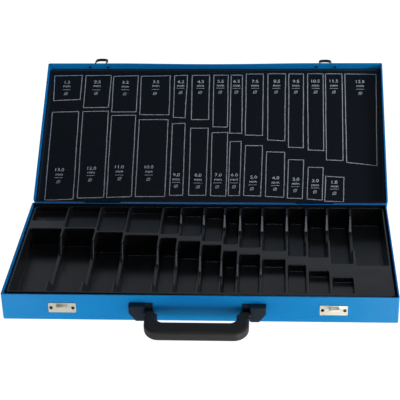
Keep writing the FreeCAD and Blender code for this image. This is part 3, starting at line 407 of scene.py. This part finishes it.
def dip(bm, rib, a, b, dep, left, right, run=16.0, crest=1.25):
    """A finger dip across a divider, whose crest stays rounded all along it."""
    go = run * dep / 18
    line = soft_line([(a - 3.0, 0.0), (a, 0.0), (a + go, dep), (b - go, dep), (b, 0.0), (b + 3.0, 0.0)], [4.0, 3.0, 3.0, 4.0])
    line = [q for q in line if a - 2.9 < q[0] < b + 2.9]
    line = [(line[0][0], -2.0)] + line + [(line[-1][0], -2.0)]
    st = sin(radians(80))
    lat = []
    rows = []
    for y, t in line:
        tt = max(0.0, t)
        row = []
        for side, (pd,) in ((-1, (left,)), (1, (right,))):
            h = RIB / 2 + (0.05 * pd + 0.2) * tt / pd
            pts = [(h + 1.3, crest * (1 - cos(radians(80))) + 1.2), (h + 0.21, crest * (1 - cos(radians(80))) + 1.2)]
            pts += [(h - crest * st + crest * sin(radians(ang)), crest * (1 - cos(radians(ang)))) for ang in (80, 65, 50, 35, 20, 0)]
            if side > 0:
                pts = list(reversed(pts))
            for u, drop in pts:
                z = TOP - t - (drop if t >= 0 else 0.0)
                row.append((rib + side * u, y, z))
        rows.append(row)
    vs = [[bm.verts.new(P(*q)) for q in row] for row in rows]
    lidv = [[bm.verts.new(P(row[0][0], row[0][1], TOP + 2)), bm.verts.new(P(row[-1][0], row[-1][1], TOP + 2))] for row in rows[1:-1]]
    for p, q in zip(vs, vs[1:]):
        for i in range(len(p) - 1):
            bm.faces.new((p[i], p[i + 1], q[i + 1], q[i]))
    # side walls up to the top, and the top itself
    for k, col_i in ((0, 0), (1, -1)):
        chain_low = [v[col_i] for v in vs]
        chain_top = [vs[0][col_i]] + [l[k] for l in lidv] + [vs[-1][col_i]]
        for i in range(len(chain_low) - 1):
            quad = []
            for v in (chain_low[i], chain_low[i + 1], chain_top[i + 1], chain_top[i]):
                if v not in quad:
                    quad.append(v)
            if len(quad) > 2:
                bm.faces.new(quad)
    tops = [[v[0] for v in vs[:1]] + [l[0] for l in lidv] + [vs[-1][0]], [vs[0][-1]] + [l[1] for l in lidv] + [vs[-1][-1]]]
    for i in range(len(tops[0]) - 1):
        lo = [tops[0][i], tops[0][i + 1], tops[1][i + 1], tops[1][i]]
        if i == 0:
            lo = list(reversed(vs[0])) [0:0] + [tops[0][1], tops[1][1]] + list(reversed(vs[0]))
        elif i == len(tops[0]) - 2:
            lo = [tops[0][i]] + list(vs[-1]) + [tops[1][i]]
        bm.faces.new(lo)


def tmp_object(name, bm):
    bmesh.ops.recalc_face_normals(bm, faces=bm.faces)
    me = bpy.data.meshes.new(name)
    bm.to_mesh(me)
    bm.free()
    o = bpy.data.objects.new(name, me)
    col.objects.link(o)
    return o


def evaluated(o):
    dg = bpy.context.evaluated_depsgraph_get()
    return bpy.data.meshes.new_from_object(o.evaluated_get(dg), depsgraph=dg)


bm = bmesh.new()
rings = []
for w, z in ((1.2, TOP - 0.02), (0.55, TOP - 0.2), (0.15, TOP - 0.6), (0.0, TOP - 1.2), (0.0, 1.0), (0.2, 0.85)):
    rings.append(rounded_ring(bm, 4.2 + w, 495.8 - w, 8.5 + w, 236.0 - w, 4.0 - w, z))
skin(bm, rings)
for v in bm.verts:
    # the sheet was trimmed a little askew along its front edge
    if v.co.y < -0.1:
        v.co.y += 0.0026 * (0.25 - v.co.x) / 0.5
slab = tmp_object("slab", bm)
bm = bmesh.new()
for i in range(14):
    cavity(bm, 7.2 if i == 0 else REAR_RIBS[i - 1] + RIB / 2, 492.6 if i == 13 else REAR_RIBS[i] - RIB / 2, REAR_ENDS[i], 233.6, REAR_DEPS[i])
for i in range(13):
    cavity(bm, 7.2 if i == 0 else FRONT_RIBS[i - 1] + RIB / 2, 445.0 if i == 12 else FRONT_RIBS[i] - RIB / 2, 14.5, FRONT_ENDS[i], FRONT_DEPS[i])
holes = tmp_object("holes", bm)
bm = bmesh.new()
for row, k, a, b_, dp in DIPS:
    ribs, deps = (REAR_RIBS, REAR_DEPS) if row == "rear" else (FRONT_RIBS, FRONT_DEPS)
    dip(bm, ribs[k - 1], a, b_, dp, deps[k - 1], deps[k])
notches = tmp_object("notches", bm)
for tool in (holes, notches):
    m = slab.modifiers.new("cut", "BOOLEAN")
    m.operation = "DIFFERENCE"
    m.solver = "EXACT"
    m.object = tool
tray_me = evaluated(slab)
for o in (slab, holes, notches):
    me = o.data
    bpy.data.objects.remove(o)
    bpy.data.meshes.remove(me)
bm = bmesh.new()
bm.from_mesh(tray_me)
bmesh.ops.remove_doubles(bm, verts=bm.verts, dist=4e-6)
bmesh.ops.dissolve_degenerate(bm, edges=bm.edges, dist=2e-6)
tray = mesh_object("vis_tray_insert", bm, TRAY, "base", 50.0)
tray.data.materials.clear()
tray.data.materials.append(TRAY)
# the sheet is stretched and duller at the bottom of the compartments
tray.data.materials.append(TRAY_DEEP)
for f in tray.data.polygons:
    q = f.center * 1000 + Vector((250.0, 119.25, 0.0))
    if q.z < TOP - 4.5 and min(abs(q.x - r) for r in REAR_RIBS + FRONT_RIBS) > RIB / 2 + 1.4:
        f.material_index = 1
wn = tray.modifiers.new("normals", "WEIGHTED_NORMAL")
wn.keep_sharp = True
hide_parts("tray_insert")
refined("lid_liner", LINER, "lid", 0.0005, 3)

# the liner's edge is drawn up all round, against the walls of the lid
vs = [LID.inverted() @ v.co for v in nodes["lid_liner"].data.vertices]
lx0, lx1 = min(v.x for v in vs) * 1000, max(v.x for v in vs) * 1000
ly0, ly1 = min(v.y for v in vs) * 1000, max(v.y for v in vs) * 1000
bm = bmesh.new()
loops = []
for d, h in ((0.1, -0.4), (0.1, 3.0), (0.7, 3.0), (1.1, 2.3), (1.8, 1.45), (2.7, 0.75), (3.7, 0.3), (4.9, 0.02), (4.9, -0.4)):
    r = 5.5 - d
    ring = []
    for cx, cy, a0 in ((lx1 - d - r, ly1 - d - r, 0), (lx0 + d + r, ly1 - d - r, 90), (lx0 + d + r, ly0 + d + r, 180), (lx1 - d - r, ly0 + d + r, 270)):
        for k in range(9):
            a = radians(a0 + 90 * k / 8)
            ring.append(bm.verts.new(LID @ Vector(((cx + r * cos(a)) / 1000, (cy + r * sin(a)) / 1000, (LINER_Z - h) / 1000))))
    loops.append(ring)
n = len(loops[0])
for p, q in zip(loops, loops[1:] + loops[:1]):
    for i in range(n):
        bm.faces.new((p[i], p[(i + 1) % n], q[(i + 1) % n], q[i]))
bmesh.ops.recalc_face_normals(bm, faces=bm.faces)
mesh_object("liner_border", bm, LINER, "lid", 50.0)
for s in ("left", "right"):
    refined("keeper_" + s, ZINC, "base", 0.00025, 2)
    refined("hasp_plate_" + s, ZINC, "lid", 0.00025, 2)
    refined("hasp_lever_" + s, BLACKENED, "hasp_" + s, 0.00025, 2)
    refined("hasp_pin_" + s, BLACKENED, "lid", 0.0001, 1)
    # hinge leaves and pins: blue paint with painted shade
    refined("hinge_base_leaf_" + s, HINGE_BLUE_SHADED, "base", 0.00015, 2)
    refined("hinge_lid_leaf_" + s, HINGE_BLUE_SHADED, "lid", 0.00015, 2)
    refined("hinge_pin_" + s, HINGE_BLUE_SHADED, "base", 0.0001, 1)
    refined("handle_bracket_" + s, BRACKET, "base", 0.0006, 3)
    refined("handle_axle_" + s, STEEL, "base", 0.0002, 2)
refined("carry_handle", GRAIN, "handle", 0.0008, 3)
for n, bd in (("keeper_rivets", "base"), ("hasp_rivets", "lid"), ("hinge_rivets_base", "base"), ("hinge_rivets_lid", "lid")):
    o = refined(n, RIVET, bd, 0.00015, 2)
    # the hollow middle of each blind rivet is painted dark: painted shade in its bore
    o.data.materials.append(RIVET_HOLE_SHADE)
    inv = LID.inverted() if bd == "lid" else Matrix.Identity(4)
    zc = sorted((inv @ v.co).z for v in o.data.vertices)
    zc = (zc[0] + zc[-1]) / 2
    xs = [-0.17275, 0.169] if n in ("keeper_rivets", "hasp_rivets") else [-0.15, 0.15]
    half = 0.0139 if n in ("keeper_rivets", "hasp_rivets") else 0.018
    for f in o.data.polygons:
        q = inv @ f.center
        if min(math.hypot(q.x - a - k * half, q.z - zc) for a in xs for k in (-1, 1)) < 0.00104:
            f.material_index = 1
refined("bracket_screws", STEEL, "base", 0.00015, 2)

# ------------------------------------------------------------------ the chart
# Outline corners on the liner: (x, s) for top left, top right, bottom left
# and bottom right, in millimetres from the lid's left and rear edges.
OUT = {
    "T1": ((8.0, 225.6), (50.0, 226.7), (10.2, 180.6), (50.2, 183.0)), "T2": ((55.9, 226.1), (94.5, 226.8), (56.5, 168.1), (93.9, 168.7)),
    "T3": ((98.4, 225.0), (135.7, 225.9), (99.3, 160.5), (136.2, 160.8)), "T4": ((140.1, 225.1), (184.1, 226.0), (141.7, 156.0), (185.4, 155.5)),
    "T5": ((190.8, 225.8), (210.2, 226.7), (191.9, 151.1), (209.7, 150.2)), "T6": ((217.4, 226.5), (243.6, 226.9), (218.9, 147.1), (244.7, 147.1)),
    "T7": ((250.2, 226.9), (271.8, 226.9), (251.2, 134.6), (272.7, 134.1)), "T8": ((276.4, 226.9), (293.2, 226.8), (276.3, 123.5), (294.1, 123.5)),
    "T9": ((298.9, 228.8), (324.7, 228.8), (299.3, 120.6), (324.5, 120.0)), "T10": ((331.6, 229.2), (358.2, 229.2), (332.0, 111.9), (357.1, 110.6)),
    "T11": ((363.0, 229.2), (385.0, 229.1), (362.4, 99.6), (384.0, 98.7)), "T12": ((390.9, 229.1), (414.2, 229.1), (391.1, 95.1), (413.5, 94.0)),
    "T13": ((417.7, 229.1), (442.5, 229.1), (417.3, 78.5), (441.1, 77.2)), "T14": ((446.7, 229.1), (493.2, 228.1), (446.3, 74.4), (489.5, 68.7)),
    "B1": ((10.2, 159.9), (49.8, 161.2), (12.7, 9.1), (53.7, 11.4)), "B2": ((56.1, 161.2), (94.4, 162.1), (59.6, 13.1), (97.7, 14.3)),
    "B3": ((99.7, 154.1), (135.9, 154.9), (101.9, 14.3), (137.7, 16.0)), "B4": ((141.6, 147.0), (184.5, 147.0), (143.2, 16.0), (185.8, 16.3)),
    "B5": ((191.2, 139.9), (210.1, 140.9), (192.3, 18.4), (211.4, 18.5)), "B6": ((218.6, 132.2), (244.6, 132.3), (219.8, 18.6), (244.4, 18.7)),
    "B7": ((250.4, 124.3), (273.5, 125.0), (251.3, 18.0), (273.2, 17.4)), "B8": ((277.4, 109.0), (293.5, 109.5), (276.8, 18.4), (292.8, 18.2)),
    "B9": ((299.9, 102.4), (324.7, 102.4), (298.6, 18.6), (322.9, 17.7)), "B10": ((330.7, 91.7), (357.2, 91.3), (329.6, 17.3), (355.9, 15.8)),
    "B11": ((362.4, 78.8), (384.3, 78.3), (361.0, 14.8), (382.3, 14.3)), "B12": ((390.9, 66.1), (412.3, 65.7), (389.0, 13.4), (410.3, 11.5)),
    "B13": ((415.7, 51.2), (442.0, 49.2), (413.8, 9.9), (440.4, 9.1)),
}
# where each label's number, unit, bar and sign are centred
LAB = {
    "T1": ((28.5, 214.0), (28.2, 206.5), (28.2, 200.5), (27.8, 193.3)), "T2": ((74.2, 214.7), (74.0, 206.7), (73.7, 200.0), (73.3, 193.7)),
    "T3": ((116.9, 213.8), (117.0, 205.8), (116.9, 200.5), (117.0, 192.9)), "T4": ((163.1, 214.7), (163.1, 207.2), (162.8, 200.9), (162.6, 193.9)),
    "T5": ((200.4, 214.7), (200.7, 207.2), (200.7, 202.9), (201.0, 195.1)), "T6": ((230.4, 215.0), (230.3, 207.4), (230.4, 202.9), (230.3, 195.5)),
    "T7": ((260.5, 215.6), (260.4, 207.6), (260.4, 203.1), (260.3, 195.9)), "T8": ((284.6, 215.7), (284.6, 207.6), (284.6, 202.9), (284.7, 196.2)),
    "T9": ((312.4, 215.5), (312.5, 207.6), (312.5, 202.9), (312.6, 196.2)), "T10": ((344.9, 215.7), (344.6, 207.6), (344.5, 202.9), (344.1, 196.2)),
    "T11": ((373.5, 215.5), (373.5, 207.6), (373.4, 202.9), (373.4, 196.2)), "T12": ((402.8, 216.0), (402.8, 207.6), (402.8, 202.9), (402.8, 196.2)),
    "T13": ((430.2, 216.0), (430.2, 207.6), (430.0, 202.9), (429.7, 196.2)), "T14": ((469.3, 214.9), (469.1, 206.8), (468.9, 201.3), (469.0, 194.1)),
    "B1": ((30.2, 60.3), (30.0, 51.8), (30.0, 46.8), (29.8, 40.1)), "B2": ((77.0, 62.9), (76.7, 55.5), (76.2, 50.6), (75.9, 43.2)),
    "B3": ((117.3, 65.6), (117.7, 57.3), (118.1, 51.6), (118.5, 45.4)), "B4": ((160.6, 65.5), (160.7, 57.2), (160.7, 51.8), (160.7, 44.8)),
    "B5": ((200.8, 52.5), (201.0, 44.7), (200.9, 39.8), (200.9, 33.4)), "B6": ((232.3, 52.2), (232.5, 44.0), (232.5, 38.8), (232.6, 32.4)),
    "B7": ((261.4, 52.6), (261.2, 44.5), (260.9, 39.3), (260.5, 32.6)), "B8": ((284.8, 52.7), (284.6, 44.6), (284.6, 39.3), (284.6, 32.7)),
    "B9": ((312.6, 49.0), (312.0, 41.1), (311.2, 36.2), (310.3, 29.6)), "B10": ((344.2, 48.0), (344.0, 39.9), (343.7, 35.4), (343.3, 29.2)),
    "B11": ((373.2, 45.9), (372.9, 38.2), (372.5, 33.6), (372.1, 27.2)), "B12": ((400.9, 43.7), (400.7, 35.9), (400.5, 31.6), (400.3, 25.3)),
    "B13": ((428.3, 41.4), (428.1, 34.0), (428.0, 29.7), (427.8, 22.9)),
}
SIZES = {"T1": "1.5", "T2": "2.5", "T3": "3.2", "T4": "3.5", "T5": "4.2", "T6": "4.5", "T7": "5.5", "T8": "6.5", "T9": "7.5", "T10": "8.5",
         "T11": "9.5", "T12": "10.5", "T13": "11.5", "T14": "12.5", "B1": "13.0", "B2": "12.0", "B3": "11.0", "B4": "10.0", "B5": "9.0",
         "B6": "8.0", "B7": "7.0", "B8": "6.0", "B9": "5.0", "B10": "4.0", "B11": "3.0", "B12": "2.0", "B13": "1.0"}
LIFT = 0.07
bm = bmesh.new()


def stroke(bm, a, b, width, seed, wob=0.35):
    """A printed line from a to b on the liner, a little uneven as silk-screened lines are."""
    ax, ay = a
    bx, by = b
    n = max(2, int(math.hypot(bx - ax, by - ay) / 5.0))
    L = math.hypot(bx - ax, by - ay)
    nx, ny = -(by - ay) / L, (bx - ax) / L
    rows = []
    for i in range(n + 1):
        t = i / n
        env = min(1.0, 4 * t, 4 * (1 - t))
        o = wob * env * noise.noise(Vector((seed * 3.7, t * L / 38.0, 0.3)))
        w = width * (0.5 + 0.10 * noise.noise(Vector((seed * 1.3, t * L / 9.0, 5.0))))
        px, py = ax + (bx - ax) * t + nx * o, ay + (by - ay) * t + ny * o
        rows.append([bm.verts.new(on_lid(px + 1.0 + nx * k * w, py + ny * k * w, LIFT)) for k in (-1, 1)])
    for p, q in zip(rows, rows[1:]):
        bm.faces.new((p[0], q[0], q[1], p[1]))


for i, (k, (tl, tr, bl, br)) in enumerate(OUT.items()):
    w = 1.15
    h = w / 2
    stroke(bm, (tl[0] - h, tl[1]), (tr[0] + h, tr[1]), w, i * 4 + 1)
    stroke(bm, (bl[0] - h, bl[1]), (br[0] + h, br[1]), w, i * 4 + 2)
    stroke(bm, tl, bl, w, i * 4 + 3, 0.5)
    stroke(bm, tr, br, w, i * 4 + 4, 0.5)
    lx, ls = LAB[k][2]
    stroke(bm, (lx - 6.0, ls), (lx + 6.0, ls), 0.8, i * 4 + 200, 0.15)
    # the diameter sign
    ox, os_ = LAB[k][3]
    ring = []
    for j in range(25):
        a = 2 * pi * j / 24
        ring.append([bm.verts.new(on_lid(ox + 1.0 + r * cos(a), os_ + r * sin(a), LIFT)) for r in (1.75, 2.6)])
    for p, q in zip(ring, ring[1:]):
        bm.faces.new((p[0], q[0], q[1], p[1]))
    stroke(bm, (ox - 2.9, os_ - 2.6), (ox + 2.9, os_ + 2.6), 0.8, i * 4 + 300, 0.0)
bmesh.ops.recalc_face_normals(bm, faces=bm.faces)
mesh_object("chart_lines", bm, INK, "lid")


def letters(name, items, size, body="lid"):
    """Plain figures set on the liner, as one mesh."""
    bm = bmesh.new()
    for text, (x, s), wide in items:
        cu = bpy.data.curves.new("t", "FONT")
        cu.body = text
        cu.align_x = "CENTER"
        cu.align_y = "CENTER"
        cu.size = size
        cu.offset = size * 0.006
        cu.resolution_u = 3
        ob = bpy.data.objects.new("t", cu)
        col.objects.link(ob)
        me = bpy.data.meshes.new_from_object(ob)
        t = bmesh.new()
        t.from_mesh(me)
        xs = [v.co.x for v in t.verts]
        ys = [v.co.y for v in t.verts]
        cx, cy = (min(xs) + max(xs)) / 2, (min(ys) + max(ys)) / 2
        new = {}
        for v in t.verts:
            new[v.index] = bm.verts.new(on_lid(x + 1.0 + (v.co.x - cx) * wide, s + (v.co.y - cy), LIFT))
        for f in t.faces:
            try:
                bm.faces.new([new[v.index] for v in f.verts])
            except ValueError:
                pass
        t.free()
        bpy.data.objects.remove(ob)
        bpy.data.curves.remove(cu)
        bpy.data.meshes.remove(me)
    bmesh.ops.recalc_face_normals(bm, faces=bm.faces)
    return mesh_object(name, bm, INK_2, body)


letters("chart_numbers", [(SIZES[k], LAB[k][0], 1.15) for k in OUT], 7.4)
letters("chart_units", [("mm", LAB[k][1], 1.15) for k in OUT], 6.4)

# ------------------------------------------------------------------ stage
bm = bmesh.new()
bmesh.ops.create_grid(bm, x_segments=2, y_segments=2, size=4.0)
me = bpy.data.meshes.new("floor")
bm.to_mesh(me)
bm.free()
floor = bpy.data.objects.new("floor", me)
col.objects.link(floor)
fm, nt, b = new_mat("floor_white")
b.inputs["Base Color"].default_value = (0.2, 0.2, 0.2, 1)
b.inputs["Roughness"].default_value = 0.9
b.inputs["Emission Color"].default_value = (1, 1, 1, 1)
b.inputs["Emission Strength"].default_value = 1.0
me.materials.append(fm)

# a pale backdrop all round, for low views; like the floor it lights nothing
bm = bmesh.new()
bmesh.ops.create_uvsphere(bm, u_segments=48, v_segments=24, radius=8.0)
me = bpy.data.meshes.new("backdrop")
bm.to_mesh(me)
bm.free()
me.materials.append(fm)
backdrop = bpy.data.objects.new("backdrop", me)
col.objects.link(backdrop)
for o in (floor, backdrop):
    o.visible_diffuse = False
    o.visible_glossy = False
    o.visible_transmission = False
    o.visible_shadow = False

# Soft studio surroundings: dark overhead, a dimmer left, a pale table below.
world = bpy.data.worlds.new("studio")
scene.world = world
world.use_nodes = True
nt = world.node_tree
bg = nt.nodes["Background"]
sep = nt.nodes.new("ShaderNodeSeparateXYZ")
nt.links.new(nt.nodes.new("ShaderNodeTexCoord").outputs["Generated"], sep.inputs[0])
half = nt.nodes.new("ShaderNodeMapRange")
half.inputs["From Min"].default_value = -1.0
nt.links.new(sep.outputs["Z"], half.inputs["Value"])
height = ramp(nt, half.outputs["Result"], [(0.0, WORLD[0]), (0.485, WORLD[1]), (0.515, WORLD[2]), (0.755, WORLD[3]), (0.80, WORLD[4]), (0.86, WORLD[5]), (0.96, WORLD[6])])
side = nt.nodes.new("ShaderNodeMapRange")
side.inputs["From Min"].default_value = -1.0
side.inputs["To Min"].default_value = SIDE[0]
side.inputs["To Max"].default_value = SIDE[1]
nt.links.new(sep.outputs["X"], side.inputs["Value"])
mul = nt.nodes.new("ShaderNodeMath")
mul.operation = "MULTIPLY"
nt.links.new(height, mul.inputs[0])
nt.links.new(side.outputs["Result"], mul.inputs[1])
deep = nt.nodes.new("ShaderNodeMapRange")          # dim towards the front, above the table only
deep.inputs["From Min"].default_value = -0.35
deep.inputs["From Max"].default_value = 0.45
deep.inputs["To Min"].default_value = FRONT
nt.links.new(sep.outputs["Y"], deep.inputs["Value"])
above = nt.nodes.new("ShaderNodeMapRange")
above.inputs["From Min"].default_value = -0.03
above.inputs["From Max"].default_value = 0.03
nt.links.new(sep.outputs["Z"], above.inputs["Value"])
pick = nt.nodes.new("ShaderNodeMix")
pick.inputs[2].default_value = 1.0
nt.links.new(above.outputs["Result"], pick.inputs[0])
nt.links.new(deep.outputs["Result"], pick.inputs[3])
mul2 = nt.nodes.new("ShaderNodeMath")
mul2.operation = "MULTIPLY"
nt.links.new(mul.outputs[0], mul2.inputs[0])
nt.links.new(pick.outputs[0], mul2.inputs[1])
nt.links.new(mul2.outputs[0], bg.inputs["Strength"])
bg.inputs["Color"].default_value = (0.90, 0.95, 1.0, 1)


def area(name, loc, aim, size, power, colour=(1, 1, 1), gloss=True):
    d = bpy.data.lights.new(name, "AREA")
    d.shape = "RECTANGLE"
    d.size, d.size_y = size
    d.energy = power
    d.color = colour
    o = bpy.data.objects.new(name, d)
    col.objects.link(o)
    o.location = loc
    o.rotation_euler = (Vector(aim) - Vector(loc)).to_track_quat("-Z", "Y").to_euler()
    o.visible_camera = False
    o.visible_glossy = gloss
    return o


area("key_top", (0.35, 0.1, 2.1), (0, 0.05, 0), (1.6, 1.2), 9, gloss=False)
area("soft_right", (1.2, -0.2, 0.50), (0.0, 0.2, 0.08), (0.5, 0.5), 16, gloss=False)
# light that the pale table throws up at the front
area("bounce_far", (0.0, -1.2, -0.12), (0, 0, 0.04), (1.2, 0.2), 6.0, gloss=False)
area("bounce_right", (0.40, -0.45, -0.13), (0.20, -0.12, 0.02), (0.30, 0.20), 1.15, (1.0, 1.0, 0.55), gloss=False)
area("bounce_left", (-0.40, -0.45, -0.13), (-0.20, -0.12, 0.02), (0.30, 0.20), 1.3, (1.0, 1.0, 0.70), gloss=False)
# a small lamp high in front that only shows as a glint on edges and crests
lamp = area("glint", (0.10, -0.80, 1.25), (0, 0, 0.03), (0.5, 0.3), 1.9, (0.9, 0.95, 1.0))
lamp.visible_diffuse = False
# and the brighter patch of table that the right end of the front mirrors
lamp = area("sheen_right", (0.43, -0.59, -0.295), (0.24, -0.12, 0.02), (0.30, 0.35), 1.4)
lamp.visible_diffuse = False

cam_data = bpy.data.cameras.new("photo_camera")
cam_data.sensor_width = 36.0
cam_data.lens = 36.0 * 1288.57 / 400.0
cam_data.clip_start = 0.05
cam_data.clip_end = 50
cam = bpy.data.objects.new("photo_camera", cam_data)
col.objects.link(cam)
right = Vector((0.998120934785774, 0.055982640477615135, -0.024910710698951014))
up = Vector((-0.005229952893185794, 0.48289165946803236, 0.8756644864381249))
back = Vector((0.06105118455122556, -0.8738887739188346, 0.4822770611210202))
m = Matrix.Identity(4)
for i, v in enumerate((right, up, back)):
    for j in range(3):
        m[j][i] = v[j]
m.translation = Vector((0.0998493, -1.4673689, 0.9186881))
cam.matrix_world = m
scene.camera = cam
scene.view_settings.view_transform = "Standard"
scene.view_settings.look = "None"
scene.view_settings.exposure = 0.0
scene.view_settings.gamma = 1.0
